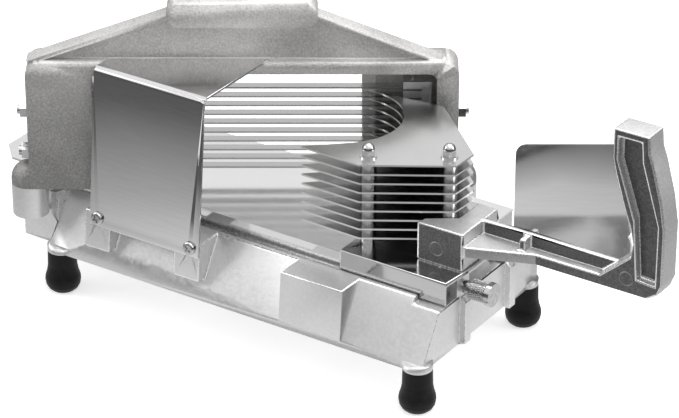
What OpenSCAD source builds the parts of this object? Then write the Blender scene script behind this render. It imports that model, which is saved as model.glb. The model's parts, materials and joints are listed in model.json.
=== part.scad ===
// Push-type tomato slicer: a cast base, a diagonal rack of blades in a cast frame,
// and a sliding pusher whose plates pass between the blades.
// Millimetres. The pusher slides along X, Z is up, and the feet stand on Z = 0.

/* [Base] */
// Length of the base casting
base_len = 288; // [270:1:310]
// Width of the base casting at its bottom rim
base_w = 140; // [132:1:150]
// Height of the rubber feet below the rim
foot_h = 29; // [24:1:36]
// Height of the body from the rim to the ledge
body_h = 38; // [34:1:44]
// How far the front wall leans back over its height
batter = 23; // [18:1:26]
// Width of the ledge between the front wall and the slide platform
ledge_w = 9; // [8:1:12]
// Height of the slide platform above the ledge
platform_h = 8; // [7:1:10]
// Wall of the base casting
wall = 5; // [4:0.5:6]
// Length of the low flat at the handle end
end_flat = 19; // [16:1:24]
// Step from the ledge down to that flat
end_drop = 4; // [3:0.5:6]
// Thickness of the sheet metal of the slide board and the exit tray
board_t = 1.5; // [1:0.1:2]
// Reach of the exit tray past the base
tray_reach = 68; // [50:1:80]

/* [Blade frame] */
// Angle of the blade frame to the push direction, in degrees
frame_angle = 33.5; // [32:0.5:35]
// Distance of the blade line from the middle of the base
blade_off = 31; // [29:1:33]
// Overall width of the frame
frame_w = 277; // [272:1:282]
// Place of the frame's left side along the blade line, from the middle
frame_left = 169; // [166:1:172]
// Depth of the frame casting
frame_d = 24; // [22:1:26]
// Height of the frame casting without its crest
frame_h = 90; // [88:1:96]
// Width of the hollow left pillar
pillar_l = 42; // [38:1:44]
// Width of the solid right pillar
pillar_r = 14; // [12:1:16]
// Height of the top beam
beam_h = 7.5; // [6:0.5:9]
// Height of the crest over the top beam
crest_h = 40; // [34:1:46]
// Width of the raised pad on the crest
pad_w = 96; // [80:1:104]
// Height of the raised pad
pad_h = 16; // [12:1:18]

/* [Blades] */
// Number of blades
blade_count = 10; // [8:1:10]
// Spacing of the blades, which is the slice thickness
pitch = 6.35; // [6:0.05:6.4]
// Width of a blade
blade_w = 8; // [7:0.5:9]
// Thickness of a blade
blade_t = 0.8; // [0.6:0.1:1]
// Height of the lowest blade above the slide board
blade_lift = 9.5; // [9:0.5:11]

/* [Pusher] */
// Thickness of a pusher plate
plate_t = 1.2; // [1:0.1:1.5]
// Radius of the notch that holds the tomato
notch_r = 40; // [36:1:41]
// Thickness of the carriage plate
carriage_t = 3; // [2.5:0.5:4]
// Length of the carriage plate
carriage_len = 81; // [78:1:84]
// Diameter of the pusher studs
stud_d = 5; // [4:0.5:6]
// Diameter of the spacers on the studs
spacer_d = 10; // [9:0.5:11]
// Travel of the pusher
travel = 150; // [130:1:152]

/* [Handle] */
// Height of the grip's top above the carriage plate
grip_h = 118; // [110:1:126]
// Thickness of the grip
grip_t = 18; // [16:1:20]
// Width of the grip seen from the front
grip_w = 24; // [22:1:26]
// Reach of the grip past the mounting block
grip_reach = 92; // [86:1:98]

/* [Guards] */
// Thickness of the guard sheet
guard_t = 1.5; // [1:0.1:2]
// Width of the front guard
front_guard_w = 86; // [80:1:90]
// Width of the rear guard
rear_guard_w = 75; // [70:1:80]
// Height of the rear guard over its foot
rear_guard_h = 68; // [60:1:74]

/* [Hidden] */

$fn = 48;
overrun = 1;
running_gap = 0.3;
bore_gap = 0.05;
slot_gap = 0.15;

// Levels and edges of the base
rim_z = foot_h;
body_top = rim_z + body_h;
platform_top = body_top + platform_h;
board_top = platform_top + board_t;
flat_top = body_top - end_drop;
end_x = base_len / 2;
side_y = base_w / 2;
platform_y = -side_y + batter + ledge_w;
platform_x = end_x - end_flat;
groove_w = 5.2;
table_cut = blade_off + 5;
lean = atan(batter / body_h);
rib_t = 4;
corner_inset = 6;
foot_r = 9.5;
post_h = 4;

// Screws of the feet
foot_screw_d = 5;
foot_screw_len = 23;

// Frame of the blades: s runs along the blades, d across them, both turned with the frame
frame_right = frame_w - frame_left;
frame_d0 = blade_off - frame_d / 2;
frame_d1 = blade_off + frame_d / 2;
frame_z0 = platform_top;
frame_top = frame_z0 + frame_h;
window_l = -frame_left + pillar_l;
window_r = frame_right - pillar_r;
window_top = frame_top - beam_h;
frame_corner_r = 9;
skin = 5;
seat_r = 12;
seat_h = 22;
seat_bolt_d = 6;
foot_rise = 3;
flange_d = 6;
back_window_r = window_r - 38;
pass_gap = 2;
pass_y0 = platform_y - pass_gap;
crest_t = 7;
crest_rim = 3;
crest_rim_d = 13;
crest_slope_l = 0.346;
crest_slope_r = 0.385;
crest_mid = -30;
pad_t = 6;
pad_r = 6;

// Blades and their holders
blade_z0 = board_top + blade_lift;
holder_w = 18;
holder_d = 12;
holder_gap = 3.5;
holder_grip = 12;
holder_z0 = blade_z0 - 4;
holder_h = pitch * (blade_count - 1) + 10;
holder_l = window_l - 8;
holder_r = window_r - holder_gap - holder_w;
pin_d = 3;
pin_s = [holder_l - holder_grip / 2, holder_r + holder_grip / 2];
bolt_d = 6;
bolt_z = [holder_z0 + holder_h * 0.23, holder_z0 + holder_h * 0.67];
nut_af = 10;
nut_h = 5;

// Pusher
carriage_z = board_top + running_gap;
carriage_top = carriage_z + carriage_t;
carriage_x1 = end_x + 3;
carriage_x0 = carriage_x1 - carriage_len;
carriage_y0 = platform_y;
carriage_y1 = 59;
skirt_z0 = flat_top + 1;
skirt_t = 1.5;
glide_t = 1;
skirt_gap = board_t + running_gap + glide_t;
plate_x = 34;
plate_len = 95;
plate_y0 = -37;
plate_w = 96;
notch_c = [30, 14];
stud_at = [[76, -25], [118, 2]];
plate_count = blade_count - 1;
plate_z0 = blade_z0 + (pitch + blade_t - plate_t) / 2;
spacer_h = pitch - plate_t;
acorn_af = 8;

// Handle
block_x0 = 112;
block_x1 = 145;
block_y0 = -25;
block_y1 = 17;
block_h = 26;
handle_y = 1;
web_t = 4;
flange_z = 10.5;
flange_h = 7;
pocket_d = 5;
grip_top = carriage_top + grip_h;
grip_x = block_x1 + grip_reach;
screw_d = 5;

// Guards
guard_top = frame_top + guard_t;
guard_x0 = -110;
guard_z0 = 58;
guard_lean = 10;
guard_lap = 5;
guard_screw_d = 5;
guard_screw_len = 6;
rear_screw_d = 4;
rear_screw_len = 5;
boss_w = 20;
boss_drop = 26;
boss3_w = 46;
boss3_drop = 34;
boss_y = -side_y + 3.5;
rear_s = 142.5;
rear_d = -28;
rear_flange = 30;

// Thumb screw
thumb_y = -22;
thumb_z = 69;
thumb_d = 6;
knob_d = 12.5;
knob_len = 11;
neck_len = 7;
lug_t = 5;
lug_w = 14;

// The origin sits on the floor under the middle of the whole object
mid_x = (grip_x + grip_w + 13 - end_x - tray_reach) / 2;
mid_y = (frame_right - frame_left) / 2 * sin(frame_angle) + blade_off * cos(frame_angle);

// Puts a finished piece in its place relative to that origin
module place() {
    translate([-mid_x, -mid_y, 0]) children();
}

module round_rect(x0, y0, x1, y1, r) {
    translate([x0 + r, y0]) square([x1 - x0 - 2 * r, y1 - y0]);
    translate([x0, y0 + r]) square([x1 - x0, y1 - y0 - 2 * r]);
    for (x = [x0 + r, x1 - r], y = [y0 + r, y1 - r]) translate([x, y]) circle(r);
}

// Turns a drawing in s and z into a slab from depth d0 to d1
module frame_slab(d0, d1) {
    rotate([0, 0, frame_angle]) translate([0, d1, 0]) rotate([90, 0, 0])
        linear_extrude(d1 - d0) children();
}

// Puts its children in the frame's own directions
module in_frame() {
    rotate([0, 0, frame_angle]) children();
}

// Turns a drawing in x and z into a slab from y0 to y1
module side_slab(y0, y1) {
    translate([0, y1, 0]) rotate([90, 0, 0]) linear_extrude(y1 - y0) children();
}

// Turns a drawing in y and z into a slab from x0 to x1
module end_slab(x0, x1) {
    translate([x0, 0, 0]) rotate([90, 0, 90]) linear_extrude(x1 - x0) children();
}

module body_outline(inset) {
    shift = inset / cos(lean);
    polygon([[-side_y + shift, rim_z - (inset > 0 ? overrun : 0)],
        [-side_y + batter + shift - inset * tan(lean), body_top - inset],
        [side_y - inset, body_top - inset],
        [side_y - inset, rim_z - (inset > 0 ? overrun : 0)]]);
}

// Seats for the feet of the blade frame, as places in the frame's directions
seat_s = [-frame_left - 1, frame_right + 1];

module seat(s) {
    in_frame() translate([s, blade_off, frame_z0 - seat_h]) cylinder(r = seat_r, h = seat_h);
}

module front_boss(x0, w, drop) {
    end_slab(x0, x0 + w) polygon([[boss_y - drop * guard_lean / (guard_top - guard_z0), body_top - drop],
        [boss_y, body_top], [platform_y - ledge_w + overrun, body_top],
        [-side_y + batter * (body_h - drop) / body_h + overrun, body_top - drop]]);
}

module base_casting() {
    color("silver") difference() {
        union() {
            difference() {
                end_slab(-end_x, end_x) body_outline(0);
                translate([platform_x, -side_y - overrun, flat_top])
                    cube([end_flat + overrun, base_w + 2 * overrun, end_drop + overrun]);
            }
            translate([0, 0, body_top - overrun]) linear_extrude(platform_h + overrun) table_outline();
            for (x = [-end_x + corner_inset, end_x - corner_inset], y = [-1, 1])
                translate([x, y * (side_y - corner_inset), rim_z]) cylinder(r = foot_r, h = post_h);
            front_boss(guard_x0 - boss_w / 4, boss_w, boss_drop);
            front_boss(guard_x0 + front_guard_w - boss_w, boss_w, boss_drop);
            front_boss(end_x - 106, boss3_w, boss3_drop);
            end_ribs();
            ears();
            for (s = seat_s) seat(s);
        }
        chambers();
        // groove in the ledge for the skirt of the carriage
        translate([-end_x - overrun, platform_y - groove_w, flat_top])
            cube([base_len + 2 * overrun, groove_w, end_drop + overrun]);
        guard_screw_holes() translate([0, 0, -guard_screw_len - overrun])
            cylinder(d = guard_screw_d + 2 * bore_gap, h = guard_screw_len + 2 * overrun);
        rear_screw_at() translate([0, 0, -rear_screw_len - overrun])
            cylinder(d = rear_screw_d + 2 * bore_gap, h = rear_screw_len + 2 * overrun);
        for (s = seat_s) in_frame() translate([s, blade_off, frame_z0 - seat_h - overrun])
            cylinder(d = seat_bolt_d + 2 * bore_gap, h = seat_h + 2 * overrun);
        for (x = [-end_x + corner_inset, end_x - corner_inset], y = [-1, 1])
            translate([x, y * (side_y - corner_inset), rim_z - overrun])
                cylinder(d = foot_screw_d + 2 * bore_gap, h = post_h + 1.5 * overrun);
    }
}

// The raised part of the table: a rectangle cut off parallel to the blades
module table_outline() {
    intersection() {
        translate([-end_x, platform_y]) square([end_x + platform_x, side_y - platform_y]);
        in_frame() translate([-frame_w, -frame_w]) square([2 * frame_w, frame_w + table_cut]);
    }
}

// Hollow underside, split by two cross ribs
module chambers() {
    room = (base_len - 2 * wall - 2 * rib_t) / 3;
    for (i = [0:2]) {
        x0 = -end_x + wall + i * (room + rib_t);
        difference() {
            end_slab(x0, x0 + room) body_outline(wall);
            if (i == 2) translate([platform_x - wall, -side_y, flat_top - wall])
                cube([end_flat + 2 * wall, base_w, end_drop + wall]);
            translate([-end_x, -side_y, flat_top - wall])
                cube([base_len, side_y + platform_y + wall, end_drop + wall]);
        }
    }
}

// Two upright ribs on the handle end
module end_ribs() {
    rib_w = 7;
    rib_out = 4;
    for (y = [-25, 29]) side_slab(y, y + rib_w)
        polygon([[end_x - overrun, rim_z], [end_x + rib_out, rim_z],
            [end_x + rib_out, flat_top - rib_out], [end_x - overrun, flat_top]]);
}

// Brackets that carry the seats out past the walls
module ears() {
    ear_x = -end_x - 28;
    ear_w = 34;
    difference() {
        translate([ear_x, -60, rim_z]) cube([-end_x - ear_x + overrun, ear_w, body_top - rim_z]);
        translate([ear_x + wall, -60 + wall, rim_z - overrun])
            cube([-end_x - ear_x - wall, ear_w - 2 * wall, body_top - rim_z - wall + overrun]);
    }
    translate([59, side_y - overrun, frame_z0 - seat_h + 3]) cube([30, 13, seat_h - 4]);
}

module slide_board() {
    color("gainsboro") difference() {
        union() {
            translate([0, 0, platform_top]) linear_extrude(board_t) table_outline();
            side_slab(platform_y - board_t, platform_y) round_rect(
                (platform_y * cos(frame_angle) - table_cut) / sin(frame_angle), body_top - end_drop / 2,
                platform_x, board_top, board_t);
        }
        frame_relief();
    }
}

// Room for the right pillar where the sheet passes it
module frame_relief() {
    in_frame() translate([window_r - running_gap, frame_d0 - running_gap, platform_top - overrun])
        cube([pillar_r + holder_w, frame_d, board_t + 2 * overrun]);
}

module exit_tray() {
    tray_x = -end_x - tray_reach;
    cut = 14;
    color("gainsboro") translate([0, 0, body_top]) linear_extrude(board_t) intersection() {
        polygon([[tray_x + cut, platform_y], [end_x, platform_y], [end_x, side_y],
            [tray_x + cut, side_y], [tray_x, side_y - cut], [tray_x, platform_y + cut]]);
        in_frame() translate([-frame_w, table_cut + running_gap]) square([2 * frame_w, frame_w]);
    }
}

module rubber_foot() {
    bore = foot_screw_d / 2 + bore_gap;
    color([0.08, 0.08, 0.09]) rotate_extrude() polygon([[bore, foot_h], [foot_r, foot_h],
        [foot_r + 0.2, foot_h * 0.62], [foot_r + 0.9, foot_h * 0.48], [foot_r + 2.1, foot_h * 0.34],
        [foot_r + 2.3, foot_h * 0.26], [foot_r + 1.8, foot_h * 0.15], [foot_r + 0.4, foot_h * 0.06],
        [foot_r - 1.6, 0], [foot_r - 4.5, 0], [foot_r - 4.5, foot_h * 0.2], [bore, foot_h * 0.2]]);
}

module at_foot(sx, sy) {
    translate([sx * (end_x - corner_inset), sy * (side_y - corner_inset), 0]) children();
}

module foot_front_left() { at_foot(-1, -1) rubber_foot(); }
module foot_front_right() { at_foot(1, -1) rubber_foot(); }
module foot_back_left() { at_foot(-1, 1) rubber_foot(); }
module foot_back_right() { at_foot(1, 1) rubber_foot(); }

module foot_screws() {
    head_h = 2.5;
    color("dimgray") for (sx = [-1, 1], sy = [-1, 1]) at_foot(sx, sy) {
        translate([0, 0, foot_h * 0.2 - head_h]) cylinder(d = foot_screw_d * 1.7, h = head_h);
        translate([0, 0, foot_h * 0.2]) cylinder(d = foot_screw_d, h = foot_screw_len + post_h);
    }
}

module frame_outline() {
    round_rect(-frame_left, frame_z0, frame_right, frame_top, frame_corner_r);
    translate([-frame_left, frame_z0]) square([frame_w, frame_h / 2]);
}

function roof_l(s) = frame_top + (s + frame_left) * crest_slope_l;
function roof_r(s) = frame_top + (frame_right - 9 - s) * crest_slope_r;

module crest_outline(drop) {
    top = frame_top + crest_h - pad_h / 2 - drop;
    polygon([[-frame_left + drop / crest_slope_l, frame_top - overrun],
        [-frame_left + (top - frame_top + drop) / crest_slope_l, top],
        [frame_right - 9 - (top - frame_top + drop) / crest_slope_r, top],
        [frame_right - 9 - drop / crest_slope_r, frame_top - overrun]]);
}

module blade_frame() {
    mid = blade_off;
    color("darkgray") difference() {
        union() {
            frame_slab(frame_d0, frame_d1) frame_outline();
            frame_slab(mid - crest_t / 2, mid + crest_t / 2) crest_outline(0);
            frame_slab(mid - crest_rim_d / 2, mid + crest_rim_d / 2) difference() {
                crest_outline(0);
                crest_outline(crest_rim);
            }
            frame_slab(mid - crest_rim_d / 2 - pad_t / 2, mid + crest_rim_d / 2)
                round_rect(crest_mid - pad_w / 2, frame_top + crest_h - pad_h,
                    crest_mid + pad_w / 2, frame_top + crest_h, pad_r);
            for (s = seat_s) in_frame() translate([s, mid, frame_z0]) frame_foot();
        }
        // front window, and the straight passage through the rest along the push direction
        frame_slab(frame_d0 - overrun, frame_d1 - flange_d)
            round_rect(window_l, frame_z0 - 2 * overrun - frame_corner_r, window_r, window_top, 5);
        intersection() {
            translate([-base_len, pass_y0, frame_z0 - overrun])
                cube([2 * base_len, carriage_y1 + pass_gap - pass_y0, frame_h - beam_h + overrun]);
            frame_slab(frame_d0 - overrun, frame_d1 + overrun)
                translate([window_l - pillar_l + skin, frame_z0 - overrun])
                    square([back_window_r - window_l + pillar_l - skin, frame_h - beam_h + overrun]);
        }
        // hollow of the left pillar, open at the back
        frame_slab(frame_d0 + skin, frame_d1 + overrun)
            round_rect(-frame_left + skin, frame_z0 + skin, window_l - skin, window_top, 3);
        // slot for the blade ends in the inner wall
        frame_slab(blade_off - blade_w / 2 - slot_gap, blade_off + blade_w / 2 + slot_gap)
            translate([window_l - skin - overrun, holder_z0])
                square([skin + 2 * overrun, holder_h]);
        // bolt holes
        for (z = bolt_z) in_frame() translate([-frame_left - overrun, blade_off, z])
            rotate([0, 90, 0]) cylinder(d = bolt_d + 2 * bore_gap, h = frame_w + 2 * overrun);
        for (s = seat_s) in_frame() translate([s, mid, frame_z0 - overrun])
            cylinder(d = seat_bolt_d + 2 * bore_gap, h = 10 + overrun);
    }
}

// Round foot of the frame with a domed top
module frame_foot() {
    rotate_extrude() intersection() {
        union() {
            square([seat_r, foot_rise]);
            translate([0, foot_rise]) circle(seat_r);
        }
        square([seat_r, foot_rise + seat_r]);
    }
}

module frame_bolts() {
    head_h = 4;
    color("dimgray") for (s = seat_s) in_frame() translate([s, blade_off, frame_z0 - seat_h]) {
        translate([0, 0, -head_h]) cylinder(d = nut_af, h = head_h, $fn = 6);
        cylinder(d = seat_bolt_d, h = seat_h + 9);
    }
}

module blade_slots(s0, s1) {
    for (k = [0:blade_count - 1])
        frame_slab(blade_off - holder_d, blade_off + blade_w / 2 + slot_gap)
            translate([s0, blade_z0 + k * pitch - slot_gap])
                square([s1 - s0, blade_t + 2 * slot_gap]);
}

module holder(s0, bolt_s, pin_s) {
    difference() {
        frame_slab(blade_off - holder_d / 2, blade_off + holder_d / 2)
            translate([s0, holder_z0]) square([holder_w, holder_h]);
        children();
        for (z = bolt_z) in_frame() translate([bolt_s - overrun, blade_off, z])
            rotate([0, 90, 0]) cylinder(d = bolt_d + 2 * bore_gap, h = holder_w - holder_grip + overrun);
        in_frame() translate([pin_s, blade_off, holder_z0 - overrun])
            cylinder(d = pin_d + 2 * bore_gap, h = holder_h + 2 * overrun);
    }
}

module blade_holder_left() {
    color("gray") holder(holder_l - holder_w, holder_l - holder_w, pin_s[0])
        blade_slots(holder_l - holder_grip, holder_l + overrun);
}

module blade_holder_right() {
    color("gray") holder(holder_r, holder_r + holder_grip + overrun, pin_s[1])
        blade_slots(holder_r - overrun, holder_r + holder_grip);
}

module slicing_blades() {
    s0 = holder_l - holder_grip + slot_gap;
    s1 = holder_r + holder_grip - slot_gap;
    edge = 1.6;
    color("lightgray") for (k = [0:blade_count - 1]) in_frame() difference() {
        translate([s0, blade_off, blade_z0 + k * pitch]) rotate([90, 0, 90])
            linear_extrude(s1 - s0) polygon([[-blade_w / 2, blade_t / 2],
                [-blade_w / 2 + edge, 0], [blade_w / 2, 0], [blade_w / 2, blade_t],
                [-blade_w / 2 + edge, blade_t]]);
        for (s = pin_s) translate([s, blade_off, blade_z0 + k * pitch - overrun])
            cylinder(d = pin_d + 2 * bore_gap, h = blade_t + 2 * overrun);
    }
}

module blade_pins() {
    color("silver") for (s = pin_s) in_frame() translate([s, blade_off, holder_z0])
        cylinder(d = pin_d, h = holder_h + overrun);
}

module tension_bolts() {
    color("silver") in_frame() for (z = bolt_z) {
        translate([-frame_left - nut_h - 2, blade_off, z]) rotate([0, 90, 0])
            cylinder(d = bolt_d, h = holder_l - holder_grip - 1 + frame_left + nut_h + 2);
        translate([holder_r + holder_grip + 1, blade_off, z]) rotate([0, 90, 0])
            cylinder(d = bolt_d, h = frame_right - holder_r - holder_grip - 1 + nut_h + 2);
    }
}

module tension_nuts() {
    color("silver") in_frame() for (z = bolt_z, s = [-frame_left - nut_h, frame_right])
        translate([s, blade_off, z]) rotate([0, 90, 0]) difference() {
            cylinder(d = nut_af / cos(30), h = nut_h, $fn = 6);
            translate([0, 0, -overrun]) cylinder(d = bolt_d + 2 * bore_gap, h = nut_h + 2 * overrun);
        }
}

module front_guard() {
    slope = guard_lean / (guard_top - guard_z0);
    face_y = boss_y + (guard_top - body_top) * slope;
    color("gainsboro") difference() {
        union() {
            end_slab(guard_x0, guard_x0 + front_guard_w) polygon([
                [boss_y - (body_top - guard_z0) * slope, guard_z0],
                [face_y, guard_top], [face_y - guard_t, guard_top],
                [boss_y - (body_top - guard_z0) * slope - guard_t, guard_z0]]);
            translate([0, 0, frame_top]) linear_extrude(guard_t) intersection() {
                translate([guard_x0, face_y - guard_t]) square([front_guard_w, base_w]);
                in_frame() translate([-frame_w, -frame_w]) square([2 * frame_w, frame_w + frame_d0 + guard_lap]);
            }
        }
        guard_screw_holes() cylinder(d = guard_screw_d + 2 * bore_gap, h = 6 * guard_t, center = true);
    }
}

module guard_screw_holes() {
    for (x = [guard_x0 + 6, guard_x0 + front_guard_w - 7])
        translate([x, boss_y - 0.5, guard_z0 + 5.5])
            rotate([90 - atan(guard_lean / (guard_top - guard_z0)), 0, 0]) children();
}

module front_guard_screws() {
    color("silver") guard_screw_holes() translate([0, 0, guard_t]) {
        cylinder(d = 9, h = 2);
        translate([0, 0, -guard_t - guard_screw_len]) cylinder(d = guard_screw_d, h = guard_t + guard_screw_len);
    }
}

module rear_guard() {
    color("gainsboro") difference() {
        union() {
            frame_slab(rear_d, rear_d + guard_t) round_rect(rear_s, flat_top,
                rear_s + rear_guard_w, flat_top + rear_guard_h, 7);
            in_frame() translate([rear_s, rear_d - rear_flange, flat_top])
                cube([rear_guard_w, rear_flange + guard_t, guard_t]);
            translate([platform_x + 2, 26, flat_top]) cube([end_flat, 24, guard_t]);
        }
        rear_screw_at() cylinder(d = rear_screw_d + 2 * bore_gap, h = 4 * guard_t, center = true);
    }
}

module rear_screw_at() {
    for (y = [31, 44]) translate([end_x - end_flat / 2, y, flat_top]) children();
}

module rear_guard_screws() {
    color("silver") rear_screw_at() {
        translate([0, 0, guard_t]) cylinder(d = 8, h = 2);
        translate([0, 0, -rear_screw_len]) cylinder(d = rear_screw_d, h = rear_screw_len + guard_t);
    }
}

module screw_lug() {
    color("silver") difference() {
        side_slab(thumb_y - lug_w / 2, thumb_y + lug_w / 2) translate([end_x - lug_t, flat_top])
            square([lug_t, board_top - flat_top - overrun]);
        translate([end_x - lug_t - overrun, thumb_y, thumb_z]) rotate([0, 90, 0])
            cylinder(d = thumb_d + 2 * bore_gap, h = lug_t + 2 * overrun);
    }
}

module thumb_screw() {
    color("silver") translate([platform_x + overrun, thumb_y, thumb_z]) rotate([0, 90, 0]) {
        cylinder(d = thumb_d, h = end_flat + neck_len);
        translate([0, 0, end_flat + running_gap]) cylinder(d = thumb_d + 2.5, h = neck_len);
        translate([0, 0, end_flat + neck_len]) cylinder(d = knob_d, h = knob_len);
        translate([0, 0, end_flat + neck_len + knob_len]) cylinder(d = knob_d + 3, h = 3.5);
    }
}

module carriage_outline() {
    polygon([[carriage_x0, carriage_y0 - skirt_gap - skirt_t], [carriage_x1 - 3, carriage_y0 - skirt_gap - skirt_t],
        [carriage_x1, carriage_y0 + 26], [carriage_x1, 25], [carriage_x1 - 36, carriage_y1],
        [carriage_x0, carriage_y1]]);
}

module carriage_plate() {
    color("gainsboro") difference() {
        union() {
            translate([0, 0, carriage_z]) linear_extrude(carriage_t) carriage_outline();
            side_slab(carriage_y0 - skirt_gap - skirt_t, carriage_y0 - skirt_gap)
                translate([carriage_x0, skirt_z0]) square([carriage_len - 3, carriage_top - skirt_z0]);
        }
        for (p = stud_at) translate([p[0], p[1], carriage_z - overrun])
            cylinder(d = stud_d + 2 * bore_gap, h = carriage_t + 2 * overrun);
        handle_screw_at() translate([0, 0, -overrun])
            cylinder(d = screw_d + 2 * bore_gap, h = carriage_t + 2 * overrun);
    }
}

module glide_strip() {
    color("white") translate([carriage_x0, carriage_y0 - skirt_gap, body_top + 1])
        cube([carriage_len - 6, glide_t, carriage_z - body_top - 1]);
}

module plate_outline() {
    difference() {
        polygon([[plate_x, plate_y0], [plate_x + plate_len * 0.46, plate_y0 - 1],
            [plate_x + plate_len - 1, plate_y0 + plate_w * 0.32],
            [plate_x + plate_len, plate_y0 + plate_w * 0.52],
            [plate_x + plate_len * 0.47, plate_y0 + plate_w], [plate_x - 9, plate_y0 + plate_w - 5],
            [plate_x - 4, plate_y0 + plate_w / 2]]);
        translate(notch_c) circle(notch_r, $fn = 96);
        polygon([[plate_x - 10, plate_y0 + 0.4], [plate_x, plate_y0 + 0.4],
            [notch_c[0] + notch_r * 0.71, notch_c[1] - notch_r * 0.71], [plate_x - 10, notch_c[1]]]);
    }
}

module pusher_plates() {
    color("lightgray") for (k = [0:plate_count - 1])
        translate([0, 0, plate_z0 + k * pitch]) linear_extrude(plate_t) difference() {
            plate_outline();
            for (p = stud_at) translate(p) circle(d = stud_d + 2 * bore_gap);
        }
}

module plate_studs() {
    color("silver") for (p = stud_at) translate([p[0], p[1], carriage_z])
        cylinder(d = stud_d, h = plate_z0 + (plate_count - 1) * pitch + plate_t + 5 - carriage_z);
}

module spacer(h) {
    difference() {
        cylinder(d = spacer_d, h = h);
        translate([0, 0, -overrun]) cylinder(d = stud_d + 2 * bore_gap, h = h + 2 * overrun);
    }
}

module plate_spacers() {
    color("silver") for (p = stud_at) {
        translate([p[0], p[1], carriage_top]) spacer(plate_z0 - carriage_top);
        for (k = [0:plate_count - 2])
            translate([p[0], p[1], plate_z0 + k * pitch + plate_t]) spacer(spacer_h);
    }
}

module acorn_nuts() {
    top = plate_z0 + (plate_count - 1) * pitch + plate_t;
    washer_h = 1;
    hex_h = 4;
    color("silver") for (p = stud_at) translate([p[0], p[1], top]) difference() {
        union() {
            cylinder(d = spacer_d + 1, h = washer_h);
            translate([0, 0, washer_h]) cylinder(d = acorn_af / cos(30), h = hex_h, $fn = 6);
            translate([0, 0, washer_h + hex_h]) sphere(d = acorn_af);
        }
        translate([0, 0, -overrun]) cylinder(d = stud_d + 2 * bore_gap, h = 5 + 1.2 * overrun);
    }
}

module grip_profile() {
    base = carriage_top + flange_z;
    polygon([[grip_x, grip_top], [grip_x, grip_top - 20], [grip_x + 3, grip_top - 32],
        [grip_x + 8, grip_top - 48], [grip_x + 14, grip_top - 64], [grip_x + 16, grip_top - 74],
        [grip_x + 15, grip_top - 82], [grip_x - 6, base + flange_h], [grip_x - 6, base],
        [grip_x + grip_w + 4, base], [grip_x + grip_w + 10, base + 4], [grip_x + grip_w + 13, base + 12],
        [grip_x + grip_w + 13, base + 48], [grip_x + grip_w + 10, base + 66],
        [grip_x + grip_w + 4, base + 88], [grip_x + grip_w + 1, base + 96], [grip_x + grip_w, grip_top]]);
}

module grip_pocket() {
    base = carriage_top + flange_z;
    polygon([[grip_x + 4, grip_top - 5], [grip_x + 4, grip_top - 20], [grip_x + 17, grip_top - 58],
        [grip_x + 20, base + 11], [grip_x + grip_w + 8, base + 10], [grip_x + grip_w + 8, base + 50],
        [grip_x + grip_w - 4, grip_top - 18], [grip_x + grip_w - 5, grip_top - 5]]);
}

module handle() {
    y0 = handle_y - grip_t / 2;
    y1 = handle_y + grip_t / 2;
    base = carriage_top + flange_z;
    color("gray") difference() {
        union() {
            side_slab(y0, y1) grip_profile();
            // mounting block
            translate([0, 0, carriage_top]) linear_extrude(block_h) polygon([
                [block_x0, block_y0], [block_x1, block_y0], [block_x1, block_y1],
                [block_x1 - 14, block_y1], [block_x1 - 14.5, block_y0 + 18.5],
                [block_x0 + 1, block_y0 + 6.5]]);
            // flange of the arm, flared out to the block
            translate([0, 0, base]) linear_extrude(flange_h) polygon([
                [block_x1 - overrun, block_y0], [block_x1 + 42, y0], [grip_x, y0], [grip_x, y1],
                [block_x1 + 38, y1], [block_x1 - overrun, block_y1]]);
            // upright web of the arm
            side_slab(handle_y - web_t / 2, handle_y + web_t / 2)
                polygon([[block_x1 - overrun, base], [grip_x + 16, base], [grip_x + 16, carriage_top + block_h],
                    [block_x1 - overrun, carriage_top + block_h]]);
            // cross rib of the arm
            side_slab(y0, y1) polygon([[block_x1 + 30, base + flange_h], [block_x1 + 34, base + flange_h],
                [block_x1 + 34, carriage_top + block_h - 1], [block_x1 + 30, carriage_top + block_h - 1]]);
        }
        side_slab(y0 - overrun, y0 + pocket_d) grip_pocket();
        side_slab(y1 - pocket_d, y1 + overrun) grip_pocket();
        handle_screw_at() cylinder(d = screw_d + 2 * bore_gap, h = carriage_t + 15);
    }
}

module handle_screw_at() {
    for (p = [[block_x0 + 11, block_y0 + 6], [block_x1 - 7, block_y1 - 7]])
        translate([p[0], p[1], carriage_z]) children();
}

module handle_screws() {
    color("dimgray") handle_screw_at() cylinder(d = screw_d, h = carriage_t + 14);
}

place() base_casting();
place() slide_board();
place() exit_tray();
place() foot_front_left();
place() foot_front_right();
place() foot_back_left();
place() foot_back_right();
place() foot_screws();
place() blade_frame();
place() frame_bolts();
place() blade_holder_left();
place() blade_holder_right();
place() slicing_blades();
place() blade_pins();
place() tension_bolts();
place() tension_nuts();
place() front_guard();
place() front_guard_screws();
place() rear_guard();
place() rear_guard_screws();
place() screw_lug();
place() thumb_screw();
place() carriage_plate();
place() glide_strip();
place() pusher_plates();
place() plate_studs();
place() plate_spacers();
place() acorn_nuts();
place() handle();
place() handle_screws();
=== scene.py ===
import json
import math

import bpy
from mathutils import Matrix, Vector

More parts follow.
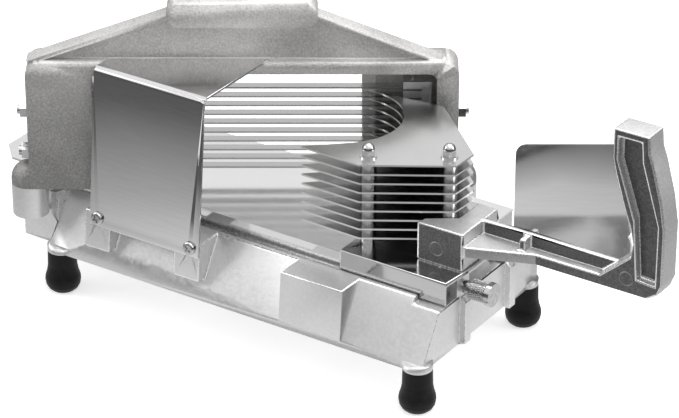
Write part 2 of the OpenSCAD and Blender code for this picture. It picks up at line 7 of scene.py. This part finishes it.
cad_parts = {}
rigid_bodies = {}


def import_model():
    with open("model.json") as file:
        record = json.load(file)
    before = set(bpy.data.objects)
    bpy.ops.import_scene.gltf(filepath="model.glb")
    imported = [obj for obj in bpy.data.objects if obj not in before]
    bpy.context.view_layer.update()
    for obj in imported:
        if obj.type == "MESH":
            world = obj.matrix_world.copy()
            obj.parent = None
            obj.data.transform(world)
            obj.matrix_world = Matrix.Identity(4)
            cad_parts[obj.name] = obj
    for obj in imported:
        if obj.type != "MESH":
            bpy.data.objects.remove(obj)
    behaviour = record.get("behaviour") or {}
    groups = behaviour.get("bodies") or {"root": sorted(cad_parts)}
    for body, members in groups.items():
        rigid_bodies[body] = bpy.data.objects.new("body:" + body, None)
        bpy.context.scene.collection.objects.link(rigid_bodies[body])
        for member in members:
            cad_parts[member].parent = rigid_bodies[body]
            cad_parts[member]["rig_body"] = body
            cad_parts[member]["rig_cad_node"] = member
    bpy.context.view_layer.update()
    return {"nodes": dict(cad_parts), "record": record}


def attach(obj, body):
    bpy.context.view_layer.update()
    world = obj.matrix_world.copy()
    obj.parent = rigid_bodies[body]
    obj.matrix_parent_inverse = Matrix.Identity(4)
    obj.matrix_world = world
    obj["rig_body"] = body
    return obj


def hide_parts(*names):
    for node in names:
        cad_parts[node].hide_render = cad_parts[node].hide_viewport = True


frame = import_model()
NODES = frame["nodes"]

# Lengths are in metres, except the places that at() takes in millimetres
MM = 0.001
# Middle of the whole object from the middle of the base
MID = Vector((0.031, 0.0090213, 0))


def at(x, y, z):
    """A place given in millimetres from the middle of the base."""
    return Vector((x, y, z)) / 1000 - MID


# Shader sums
class Value:
    """A node socket that can be written in sums."""

    def __init__(self, tree, socket):
        self.tree = tree
        self.socket = socket

    def _math(self, operation, *inputs):
        return self.tree.node("ShaderNodeMath", {"operation": operation}, dict(enumerate(inputs)))

    def __add__(self, other):
        return self._math("ADD", self, other)

    __radd__ = __add__

    def __sub__(self, other):
        return self._math("SUBTRACT", self, other)

    def __rsub__(self, other):
        return self._math("SUBTRACT", other, self)

    def __mul__(self, other):
        return self._math("MULTIPLY", self, other)

    __rmul__ = __mul__

    def __truediv__(self, other):
        return self._math("DIVIDE", self, other)

    def __abs__(self):
        return self._math("ABSOLUTE", self)

    def clip(self):
        return self.tree.node("ShaderNodeClamp", {}, {0: self})


class Finish:
    """A material with a Principled shader, built up from expressions."""

    def __init__(self, name, **constants):
        self.material = bpy.data.materials.new(name)
        self.material.use_nodes = True
        self.links = self.material.node_tree.links
        self.nodes = self.material.node_tree.nodes
        self.shader = self.nodes["Principled BSDF"]
        for word, amount in constants.items():
            self.shader.inputs[word.replace("_", " ").title()].default_value = amount

    def put(self, socket, value):
        if isinstance(value, Value):
            self.links.new(value.socket, socket)
        else:
            socket.default_value = value

    def node(self, kind, settings, inputs, output=0):
        made = self.nodes.new(kind)
        for word, setting in settings.items():
            if word == "stops":
                ramp = made.color_ramp.elements
                while len(ramp) < len(setting):
                    ramp.new(0.5)
                for element, (place, colour) in zip(ramp, setting):
                    element.position = place
                    element.color = (*colour, 1)
            else:
                setattr(made, word, setting)
        for word, value in inputs.items():
            self.put(made.inputs[word], value)
        return Value(self, made.outputs[output])

    def place(self, scale=(1, 1, 1)):
        here = self.node("ShaderNodeTexCoord", {}, {}, "Object")
        return self.node("ShaderNodeMapping", {}, {"Vector": here, "Scale": scale})

    def part(self, vector, axis):
        return self.node("ShaderNodeSeparateXYZ", {}, {0: vector}, axis)

    def noise(self, scale, detail=3, where=None, **more):
        inputs = {"Vector": where or self.place(), "Scale": scale, "Detail": detail, **more}
        return self.node("ShaderNodeTexNoise", {}, inputs)

    def ramp(self, value, stops):
        return self.node("ShaderNodeValToRGB", {"stops": stops}, {0: value})

    def blend(self, amount, one, two):
        return self.node("ShaderNodeMix", {"data_type": "RGBA"}, {0: amount, 6: one, 7: two}, 2)

    def bump(self, height, strength, distance):
        bumped = {"Height": height, "Strength": strength, "Distance": distance}
        self.put(self.shader.inputs["Normal"], self.node("ShaderNodeBump", {}, bumped))

    def set(self, word, value):
        self.put(self.shader.inputs[word], value)


def tone(level, warm=0.0):
    """A grey, with more red and less blue where warm is above nought."""
    return (level * (1 + warm), level, level * (1 - warm))


# Palest grey that the painted light on a casting may reach
PALEST = 0.95
# Half width of the line round an ejector mark, and its grey
MARK_LINE = 0.6 * MM
MARK_TONE = 0.5


def painted_light_above(m, mix, shade, dark, light, warm, painted_light_rise):
    """Paints a casting paler between two heights and above them: painted light on its upper part."""
    low, high, gain = painted_light_rise
    up = m.part(m.place(), "Z")
    lift = ((up - low) / (high - low)).clip()
    top_light = min(light * gain, PALEST)
    pale = m.ramp(mix, [(0.36, tone(dark * gain, warm)), (0.64, tone(top_light, warm))])
    return m.blend(lift, shade, pale)


def painted_dark_faces(m, speck, shade, level, warm):
    """Paints the flat faces of the handle that face front and back darker and coarser than its
    sides: painted shade.
    """
    side = m.node("ShaderNodeNewGeometry", {}, {}, "True Normal")
    face_shade_mask = ((abs(m.part(side, "Y")) - 0.9) * 16).clip()
    face_shade = m.ramp(speck, [(0.36, tone(level * 0.75, warm)), (0.64, tone(level * 1.25, warm))])
    return m.blend(face_shade_mask, shade, face_shade)


def ejector_line(m, spot, radius):
    """A thin ring, the round mark of an ejector pin."""
    gap = m.node("ShaderNodeVectorMath", {"operation": "DISTANCE"}, {0: m.place(), 1: spot}, "Value")
    return (1 - abs(gap - radius) / MARK_LINE).clip()


def cast_metal(name, dark, light, rough, grain, depth, warm=0.0, metal=0.75,
               faces=None, painted_light_rise=None, rings=()):
    """Cast aluminium: cloudy tone and fine grain, with painted light on the upper part, painted
    shade on flat faces and ejector rings where asked.
    """
    m = Finish(name, metallic=metal)
    speck = m.noise(grain, 2)
    mix = m.noise(22, 4) * 0.5 + speck * 0.5
    shade = m.ramp(mix, [(0.4, tone(dark, warm)), (0.6, tone(light, warm))])
    height = m.noise(grain, 4, Roughness=0.65)
    # painted light: the casting grows paler towards its top
    if painted_light_rise:
        shade = painted_light_above(m, mix, shade, dark, light, warm, painted_light_rise)
    # painted shade on the flat faces that face front and back
    if faces:
        shade = painted_dark_faces(m, speck, shade, faces, warm)
    for spot, radius in rings:
        line = ejector_line(m, spot, radius)
        shade = m.blend(line * 0.5, shade, (*tone(MARK_TONE), 1))
        height = height + line * 2.0
    m.set("Base Color", shade)
    m.set("Roughness", (rough + (speck - 0.5) * 0.3).clip())
    m.bump(height, 0.6, depth)
    return m.material


def sheet_metal(name, level, rough, painted_fade=None):
    """Polished sheet: faint long streaks and a slight waviness, and where asked a painted reflection
    darkening its upper end.
    """
    m = Finish(name, metallic=1.0)
    streak = m.noise(60, 3, m.place((1, 1, 14)))
    wave = m.noise(9, 2)
    shade = m.ramp(streak, [(0.3, tone(level * 0.95)), (0.75, tone(level))])
    if painted_fade:
        # painted reflection: a darker tone towards the upper end of the sheet
        low, high, dull = painted_fade
        up = m.part(m.place(), "Z")
        amount = ((up + (wave - 0.5) * 0.05 - low) / (high - low)).clip()
        shade = m.blend(amount, shade, (*tone(dull), 1))
    m.set("Base Color", shade)
    m.set("Roughness", (rough + (streak - 0.5) * 0.08).clip())
    m.bump(wave, 0.15, 0.6 * MM)
    return m.material


def small_metal(name, level, rough, grain=420):
    """Turned and plated small parts, with fine scratches."""
    m = Finish(name, metallic=1.0)
    mark = m.noise(grain, 3)
    m.set("Base Color", m.ramp(mark, [(0.3, tone(level * 0.8)), (0.7, tone(level))]))
    m.set("Roughness", (rough + (mark - 0.5) * 0.2).clip())
    m.bump(mark, 0.2, 0.08 * MM)
    return m.material


def rubber_black(name):
    """Moulded rubber with a little dust."""
    m = Finish(name, metallic=0.0)
    m.shader.inputs["Specular IOR Level"].default_value = 0.2
    dust = m.noise(180, 4)
    m.set("Base Color", m.ramp(dust, [(0.35, (0.004, 0.004, 0.005)), (0.75, (0.012, 0.012, 0.014))]))
    m.set("Roughness", (0.36 + dust * 0.25).clip())
    m.bump(m.noise(900, 2), 0.25, 0.1 * MM)
    return m.material


def plain_plastic(name, level):
    """Smooth pale plastic with a slight haze."""
    m = Finish(name, metallic=0.0)
    haze = m.noise(90, 3)
    m.set("Base Color", m.ramp(haze, [(0.3, tone(level * 0.93, 0.01)), (0.7, tone(level, 0.01))]))
    m.set("Roughness", (0.4 + haze * 0.15).clip())
    m.bump(m.noise(600, 2), 0.15, 0.06 * MM)
    return m.material


# Ejector marks on the handle's block and at the foot of its grip
MARK_R = 4.5 * MM
BLOCK_MARK = tuple(at(125.9, -25.0, 90.7))
GRIP_MARK = tuple(at(249.8, -8.0, 99.8))

# the frame grows paler towards its top, a painted light on its upper part
FRAME_CAST = cast_metal("frame cast aluminium", dark=0.24, light=0.4, rough=0.5, grain=760,
                        depth=0.9 * MM, warm=0.012, metal=0.6, painted_light_rise=(0.1, 0.17, 1.95))
BASE_CAST = cast_metal("base cast aluminium", dark=0.7, light=0.77, rough=0.36, grain=420,
                       depth=0.12 * MM)
# the handle's flat front and back faces are painted darker, a painted shade
HANDLE_CAST = cast_metal("handle cast aluminium", dark=0.6, light=0.74, rough=0.38, grain=800,
                         depth=0.4 * MM, metal=0.7, faces=0.13,
                         rings=((BLOCK_MARK, MARK_R), (GRIP_MARK, MARK_R)))
# Lighter, glossier copies of the castings for their rounded edges: painted highlights along the
# edges
FRAME_EDGE_HIGHLIGHT = cast_metal("frame edge", dark=0.5, light=0.64, rough=0.34, grain=760,
                        depth=0.2 * MM, warm=0.01, metal=0.8)
BASE_EDGE_HIGHLIGHT = cast_metal("base edge", dark=0.78, light=0.88, rough=0.28, grain=420,
                       depth=0.1 * MM, metal=0.8)
HANDLE_EDGE_HIGHLIGHT = cast_metal("handle edge", dark=0.8, light=0.92, rough=0.26, grain=800,
                         depth=0.1 * MM, metal=0.85)
# lighter sheet for the rounded sheet edges, a painted highlight
SHEET_EDGE_HIGHLIGHT = sheet_metal("sheet edge", level=0.86, rough=0.2)
HOLDER_METAL = cast_metal("machined holder", dark=0.42, light=0.5, rough=0.35, grain=300,
                          depth=0.06 * MM)
GUARD_SHEET = sheet_metal("polished guard sheet", level=0.78, rough=0.1)
# the rear sheet darkens towards its upper end, a painted reflection
REAR_SHEET = sheet_metal("polished rear sheet", level=0.72, rough=0.14, painted_fade=(0.09, 0.125, 0.28))
CARRIAGE_SHEET = sheet_metal("carriage sheet", level=0.58, rough=0.16)
BOARD_SHEET = sheet_metal("polished board sheet", level=0.8, rough=0.14)
BLADE_STEEL = sheet_metal("ground blade steel", level=0.55, rough=0.22)
PLATE_STEEL = sheet_metal("pusher plate steel", level=0.64, rough=0.2)
BRIGHT_STEEL = small_metal("bright fastener", level=0.62, rough=0.18)
DARK_STEEL = small_metal("dull fastener", level=0.36, rough=0.35)
RUBBER = rubber_black("black rubber")
GLIDE_PLASTIC = plain_plastic("glide plastic", level=0.82)

LOOK = {
    "base_casting": BASE_CAST, "slide_board": BOARD_SHEET, "exit_tray": BOARD_SHEET,
    "foot_front_left": RUBBER, "foot_front_right": RUBBER, "foot_back_left": RUBBER,
    "foot_back_right": RUBBER, "foot_screws": DARK_STEEL, "blade_frame": FRAME_CAST,
    "frame_bolts": DARK_STEEL, "blade_holder_left": HOLDER_METAL,
    "blade_holder_right": HOLDER_METAL, "slicing_blades": BLADE_STEEL,
    "blade_pins": BRIGHT_STEEL, "tension_bolts": BRIGHT_STEEL, "tension_nuts": BRIGHT_STEEL,
    "front_guard": GUARD_SHEET, "front_guard_screws": BRIGHT_STEEL, "rear_guard": REAR_SHEET,
    "rear_guard_screws": BRIGHT_STEEL, "screw_lug": BASE_CAST, "thumb_screw": BRIGHT_STEEL,
    "carriage_plate": CARRIAGE_SHEET, "glide_strip": GLIDE_PLASTIC, "pusher_plates": PLATE_STEEL,
    "plate_studs": BRIGHT_STEEL, "plate_spacers": BRIGHT_STEEL, "acorn_nuts": BRIGHT_STEEL,
    "handle": HANDLE_CAST, "handle_screws": DARK_STEEL,
}
for name, look in LOOK.items():
    for slot in NODES[name].material_slots:
        slot.material = look


# Making of pieces
def only(obj):
    """Selects one object and nothing else."""
    bpy.ops.object.select_all(action="DESELECT")
    obj.select_set(True)
    bpy.context.view_layer.objects.active = obj


def edit(mode):
    """Starts editing in vertices, edges or faces."""
    bpy.ops.object.mode_set(mode="EDIT")
    bpy.ops.mesh.select_mode(type=mode)


def leave_edit():
    bpy.ops.object.mode_set(mode="OBJECT")


def apply_modifiers(obj):
    only(obj)
    for modifier in list(obj.modifiers):
        bpy.ops.object.modifier_apply(modifier=modifier.name)


def frame_body(node):
    """The body that carries a node."""
    for body, members in frame["record"]["behaviour"]["bodies"].items():
        if node in members:
            return body


def pick_edges(obj, wanted):
    """Selects the edges whose two ends are both wanted."""
    only(obj)
    edit("EDGE")
    bpy.ops.mesh.select_all(action="DESELECT")
    leave_edit()
    points = [v.co for v in obj.data.vertices]
    for edge in obj.data.edges:
        edge.select = all(wanted(points[i]) for i in edge.vertices)


# How far from a height or a line an edge still counts as on it
LEVEL_SLACK = 0.2 * MM
LINE_SLACK = 0.5 * MM


def bend_round(piece, radius):
    """Gives the upper bend of the sheet its radius."""
    points = [v.co for v in piece.data.vertices]
    top = max(p.z for p in points)
    front = min(p.y for p in points if p.z > top - LEVEL_SLACK)
    pick_edges(piece, lambda p: p.z > top - LEVEL_SLACK and p.y < front + LINE_SLACK)
    bpy.ops.object.mode_set(mode="EDIT")
    bpy.ops.mesh.bevel(offset=radius, segments=5, affect="EDGES")
    leave_edit()


def node_copy(node, name):
    """A merged copy of a node's mesh, free of its parent."""
    only(NODES[node])
    bpy.ops.object.duplicate()
    piece = bpy.context.view_layer.objects.active
    piece.name = piece.data.name = name
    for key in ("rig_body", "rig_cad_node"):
        if key in piece:
            del piece[key]
    piece.parent = None
    only(piece)
    bpy.ops.object.mode_set(mode="EDIT")
    bpy.ops.mesh.select_all(action="SELECT")
    bpy.ops.mesh.remove_doubles(threshold=0.01 * MM)
    bpy.ops.mesh.dissolve_limited(angle_limit=math.radians(1.0))
    bpy.ops.mesh.quads_convert_to_tris(ngon_method="BEAUTY")
    leave_edit()
    return piece


# Edges sharper than this are rounded, if they are longer than this
SHARP = math.radians(28)
SHORTEST = 3 * MM
# An edge that is shorter than this many radii crowds its corners
CROWD = 2.2
SMOOTH = math.radians(50)
BEND_R = 4 * MM


def pick_long_edges(piece, radius):
    """Selects the sharp edges that have room for a rounding."""
    edit("EDGE")
    bpy.ops.mesh.select_all(action="DESELECT")
    bpy.ops.mesh.edges_select_sharp(sharpness=SHARP)
    leave_edit()
    points = [v.co for v in piece.data.vertices]
    length = [(points[e.vertices[0]] - points[e.vertices[1]]).length for e in piece.data.edges]
    # the short edges of holes, steps and small rounds stay as they are, and what meets them
    crowded = set()
    for edge in piece.data.edges:
        if length[edge.index] < CROWD * radius:
            crowded.update(edge.vertices)
    for edge in piece.data.edges:
        if length[edge.index] < SHORTEST or crowded.intersection(edge.vertices):
            edge.select = False


def rounded_copy(node, radius, name, edge_highlight):
    """A copy of a casting or bent sheet with its edges rounded and painted lighter as a highlight,
    which stands for the node.
    """
    piece = node_copy(node, name)
    if node == "front_guard":
        bend_round(piece, BEND_R)
    piece.data.materials.append(edge_highlight)
    pick_long_edges(piece, radius)
    bpy.ops.object.mode_set(mode="EDIT")
    # the rounded faces take the lighter edge material, a painted highlight
    bpy.ops.mesh.bevel(offset=radius, segments=2, affect="EDGES", clamp_overlap=False,
                       material=len(piece.data.materials) - 1)
    leave_edit()
    only(piece)
    bpy.ops.object.shade_smooth_by_angle(angle=SMOOTH)
    # keeps the broad faces flat beside their rounded edges
    flat = piece.modifiers.new("flat faces", "WEIGHTED_NORMAL")
    flat.keep_sharp = True
    flat.weight = 100
    apply_modifiers(piece)
    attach(piece, frame_body(node))
    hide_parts(node)


for node, radius, name, edge_highlight in [
    ("base_casting", 1.1 * MM, "base_with_eased_edges", BASE_EDGE_HIGHLIGHT),
    ("blade_frame", 1.1 * MM, "frame_with_eased_edges", FRAME_EDGE_HIGHLIGHT),
    ("handle", 1.2 * MM, "handle_with_eased_edges", HANDLE_EDGE_HIGHLIGHT),
    ("carriage_plate", 0.6 * MM, "carriage_with_eased_edges", SHEET_EDGE_HIGHLIGHT),
    ("front_guard", 0.4 * MM, "front_guard_with_eased_edges", SHEET_EDGE_HIGHLIGHT),
]:
    rounded_copy(node, radius, name, edge_highlight)


def place_at(obj, place, turn):
    """Turns and moves a finished piece, and leaves its place in its mesh."""
    only(obj)
    obj.matrix_world = Matrix.Translation(place) @ turn
    bpy.ops.object.transform_apply(location=True, rotation=True, scale=True)


def finish_piece(obj, look, body, smooth=35):
    """Shades a piece, gives it its material, and puts it on a body."""
    only(obj)
    bpy.ops.object.shade_smooth_by_angle(angle=math.radians(smooth))
    if not obj.data.materials:
        obj.data.materials.append(look)
    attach(obj, body)


# Screws of the front guard: rounded heads with a cross
HEAD_R = 4.4 * MM
HEAD_H = 2 * MM
HEAD_ROUND = 1.3 * MM
HEAD_SIDES = 40
CROSS_W = 1.1 * MM
CROSS_SPAN = 5.2 * MM
CROSS_DEPTH = 1.3 * MM
ON_LEVEL = 0.01 * MM


def screw_head(name):
    """A rounded head that stands on its base, with a cross sunk into its top."""
    bpy.ops.object.select_all(action="DESELECT")
    bpy.ops.mesh.primitive_cylinder_add(vertices=HEAD_SIDES, radius=HEAD_R, depth=HEAD_H,
                                        location=(0, 0, HEAD_H / 2))
    bpy.ops.object.transform_apply(location=True)
    head = bpy.context.object
    head.name = head.data.name = name
    pick_edges(head, lambda p: abs(p.z - HEAD_H) < ON_LEVEL)
    bpy.ops.object.mode_set(mode="EDIT")
    bpy.ops.mesh.bevel(offset=HEAD_ROUND, segments=4, affect="EDGES")
    leave_edit()
    for turn in (0, math.pi / 2):
        cut_slot(head, turn)
    return head


def cut_slot(head, turn):
    """One arm of the cross."""
    bpy.ops.object.select_all(action="DESELECT")
    bpy.ops.mesh.primitive_cube_add(size=1, location=(0, 0, HEAD_H), rotation=(0, 0, turn))
    cutter = bpy.context.object
    cutter.scale = (CROSS_SPAN, CROSS_W, 2 * CROSS_DEPTH)
    bpy.ops.object.transform_apply(location=True, rotation=True, scale=True)
    cut = head.modifiers.new("cross", "BOOLEAN")
    cut.operation = "DIFFERENCE"
    cut.object = cutter
    cut.solver = "EXACT"
    apply_modifiers(head)
    bpy.data.objects.remove(cutter)


def twin(obj, name):
    """A copy of a piece with a mesh of its own."""
    only(obj)
    bpy.ops.object.duplicate()
    copy = bpy.context.view_layer.objects.active
    copy.name = copy.data.name = name
    return copy


# The guard leans back, so its screws do too, and their heads sit on its outer face
LEAN = Matrix.Rotation(math.radians(84.73), 4, "X")
OUT = LEAN @ Vector((0, 0, 1.55 * MM))
LEFT_SCREW = at(-104, -67, 63.5)
RIGHT_SCREW = at(-31, -67, 63.5)
LEFT_TURN = 0.5
RIGHT_TURN = 0.9
first = screw_head("guard_screw_left")
second = twin(first, "guard_screw_right")
place_at(first, LEFT_SCREW + OUT, LEAN @ Matrix.Rotation(LEFT_TURN, 4, "Z"))
place_at(second, RIGHT_SCREW + OUT, LEAN @ Matrix.Rotation(RIGHT_TURN, 4, "Z"))
for screw in (first, second):
    finish_piece(screw, BRIGHT_STEEL, frame_body("front_guard_screws"))
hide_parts("front_guard_screws")
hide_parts("front_guard_screws")

# Knurled sleeve of the thumb screw: rings of small pads, each ring turned half a pad
KNURLS = 30
STEPS = 7
KNOB_LEN = 11 * MM
KNOB_R = 6.3 * MM
KNOB_PLACE = at(151, -22, 69)
PAD_RIM = 0.25 * MM
PAD_RISE = 0.35 * MM


def knurled_sleeve(name):
    """A closed sleeve of raised pads, standing on its base."""
    bpy.ops.object.select_all(action="DESELECT")
    bpy.ops.mesh.primitive_circle_add(vertices=KNURLS, radius=KNOB_R)
    sleeve = bpy.context.object
    sleeve.name = sleeve.data.name = name
    edit("EDGE")
    bpy.ops.mesh.select_all(action="SELECT")
    for step in range(STEPS):
        bpy.ops.mesh.extrude_edges_move(TRANSFORM_OT_translate={"value": (0, 0, KNOB_LEN / STEPS)})
        bpy.ops.transform.rotate(value=math.pi / KNURLS, orient_axis="Z", center_override=(0, 0, 0))
    bpy.ops.mesh.select_mode(type="FACE")
    bpy.ops.mesh.select_all(action="SELECT")
    bpy.ops.mesh.normals_make_consistent(inside=False)
    bpy.ops.mesh.inset(thickness=PAD_RIM, depth=PAD_RISE, use_individual=True)
    bpy.ops.mesh.select_all(action="SELECT")
    bpy.ops.mesh.fill_holes(sides=KNURLS + 2)
    bpy.ops.mesh.select_all(action="SELECT")
    bpy.ops.mesh.normals_make_consistent(inside=False)
    leave_edit()
    return sleeve


sleeve = knurled_sleeve("thumb_screw_knurl")
place_at(sleeve, KNOB_PLACE, Matrix.Rotation(math.pi / 2, 4, "Y"))
finish_piece(sleeve, BRIGHT_STEEL, frame_body("thumb_screw"), smooth=20)

# Floor, world, lights and camera
FLOOR_SIZE = 14
FLOOR_GREY = 0.8
FLOOR_GLOW = 0.62
WORLD_LIGHT = 0.42
bpy.ops.object.select_all(action="DESELECT")
bpy.ops.mesh.primitive_plane_add(size=FLOOR_SIZE, location=(0, 0, 0))
floor = bpy.context.object
floor.name = "floor"


def shown(output, tree, base, seen):
    """Mixes what light meets with what the camera, mirrors and glass see."""
    ray = tree.nodes.new("ShaderNodeLightPath")
    total = ray.outputs["Is Camera Ray"]
    for kind in ("Is Glossy Ray", "Is Transmission Ray"):
        join = tree.nodes.new("ShaderNodeMath")
        join.operation = "MAXIMUM"
        tree.links.new(total, join.inputs[0])
        tree.links.new(ray.outputs[kind], join.inputs[1])
        total = join.outputs[0]
    pick = tree.nodes.new("ShaderNodeMixShader")
    out = tree.nodes.new(output)
    for number, source in enumerate((total, base, seen)):
        tree.links.new(source, pick.inputs[number])
    tree.links.new(pick.outputs[0], out.inputs[0])


def pale_floor():
    """A matt floor that also glows a little where it is seen."""
    ground = bpy.data.materials.new("pale floor")
    ground.use_nodes = True
    tree = ground.node_tree
    tree.nodes.clear()
    matt = tree.nodes.new("ShaderNodeBsdfDiffuse")
    matt.inputs["Color"].default_value = (*tone(FLOOR_GREY), 1)
    glow = tree.nodes.new("ShaderNodeEmission")
    glow.inputs["Strength"].default_value = FLOOR_GLOW
    both = tree.nodes.new("ShaderNodeAddShader")
    tree.links.new(matt.outputs[0], both.inputs[0])
    tree.links.new(glow.outputs[0], both.inputs[1])
    shown("ShaderNodeOutputMaterial", tree, matt.outputs[0], both.outputs[0])
    return ground


floor.data.materials.append(pale_floor())


def backdrop(tree, strength):
    """A white background of one strength."""
    node = tree.nodes.new("ShaderNodeBackground")
    node.inputs["Color"].default_value = (1, 1, 1, 1)
    node.inputs["Strength"].default_value = strength
    return node.outputs[0]


world = bpy.data.worlds.new("studio")
bpy.context.scene.world = world
world.use_nodes = True
sky = world.node_tree
sky.nodes.clear()
shown("ShaderNodeOutputWorld", sky, backdrop(sky, WORLD_LIGHT), backdrop(sky, 1.0))

# A glowing grey surround over the floor and round it, seen only in reflections: painted reflections,
# bright under the object and darker outwards
FLAG_R = 0.2
FLAG_LIFT = 1 * MM
FLAG_STEPS = (3.5, 2.4)
FLAG_WALL = 0.75


def grey_surround():
    """A disc that grows in steps to a low wall."""
    bpy.ops.object.select_all(action="DESELECT")
    bpy.ops.mesh.primitive_circle_add(vertices=64, radius=FLAG_R, fill_type="NGON",
                                      location=(0, 0, FLAG_LIFT))
    flag = bpy.context.object
    flag.name = "grey_surround"
    edit("EDGE")
    bpy.ops.mesh.select_all(action="SELECT")
    for step in FLAG_STEPS:
        bpy.ops.mesh.extrude_edges_move()
        bpy.ops.transform.resize(value=(step, step, 1), center_override=(0, 0, FLAG_LIFT))
    bpy.ops.mesh.extrude_edges_move(TRANSFORM_OT_translate={"value": (0, 0, FLAG_WALL)})
    bpy.ops.mesh.select_mode(type="VERT")
    leave_edit()
    flag.visible_camera = False
    flag.visible_diffuse = False
    flag.visible_transmission = False
    flag.visible_shadow = False
    flag.visible_volume_scatter = False
    return flag


def surround_painted_reflection():
    """Painted reflections: bright under the object, and darker outwards and upwards."""
    m = Finish("grey surround")
    flat = m.node("ShaderNodeVectorMath", {"operation": "MULTIPLY"}, {0: m.place(), 1: (1, 1, 0)})
    reach = m.node("ShaderNodeVectorMath", {"operation": "LENGTH"}, {0: flat}, "Value")
    height = m.part(m.place(), "Z")
    stops = [(0.08, tone(0.95)), (0.2, tone(0.86)), (0.36, tone(0.45)), (0.6, tone(0.12)),
             (0.95, tone(0.1))]
    fall = m.ramp(reach + height * 1.2, stops)
    glow = m.node("ShaderNodeEmission", {}, {"Color": fall, "Strength": 1.0})
    m.put(m.nodes["Material Output"].inputs["Surface"], glow)
    return m.material


flag = grey_surround()
flag.data.materials.append(surround_painted_reflection())


def softbox(name, place, target, width, height, power):
    """A soft rectangular lamp that faces a target."""
    light = bpy.data.lights.new(name, "AREA")
    light.shape = "RECTANGLE"
    light.size = width
    light.size_y = height
    light.energy = power
    holder = bpy.data.objects.new(name, light)
    bpy.context.scene.collection.objects.link(holder)
    holder.location = place
    holder.rotation_mode = "QUATERNION"
    holder.rotation_quaternion = (Vector(target) - Vector(place)).to_track_quat("-Z", "Y")


softbox("top box", (0.1, 0.2, 1.5), (0, 0, 0.05), width=1.6, height=1.4, power=17)
softbox("left box", (-1.3, -0.7, 0.7), (0, 0, 0.1), width=0.8, height=1.0, power=7)
softbox("right box", (1.2, 0.4, 0.8), (0, 0, 0.1), width=0.6, height=1.0, power=8)

# The camera stands where the photograph was taken from
LENS = 174.96
SENSOR = 36.0
AZIMUTH = math.radians(33.5)
RISE = math.radians(28.0)
AWAY = 2.2756
AIM = at(-46.9, 128.2, 0)
camera = bpy.data.objects.new("camera", bpy.data.cameras.new("camera"))
bpy.context.scene.collection.objects.link(camera)
camera.data.lens = LENS
camera.data.sensor_width = SENSOR
camera.data.clip_end = 20
level = math.cos(RISE)
back = Vector((math.sin(AZIMUTH) * level, -math.cos(AZIMUTH) * level, math.sin(RISE)))
camera.location = AIM + back * AWAY
camera.rotation_mode = "QUATERNION"
camera.rotation_quaternion = (-back).to_track_quat("-Z", "Y")
bpy.context.scene.camera = camera
bpy.context.scene.view_settings.view_transform = "Standard"
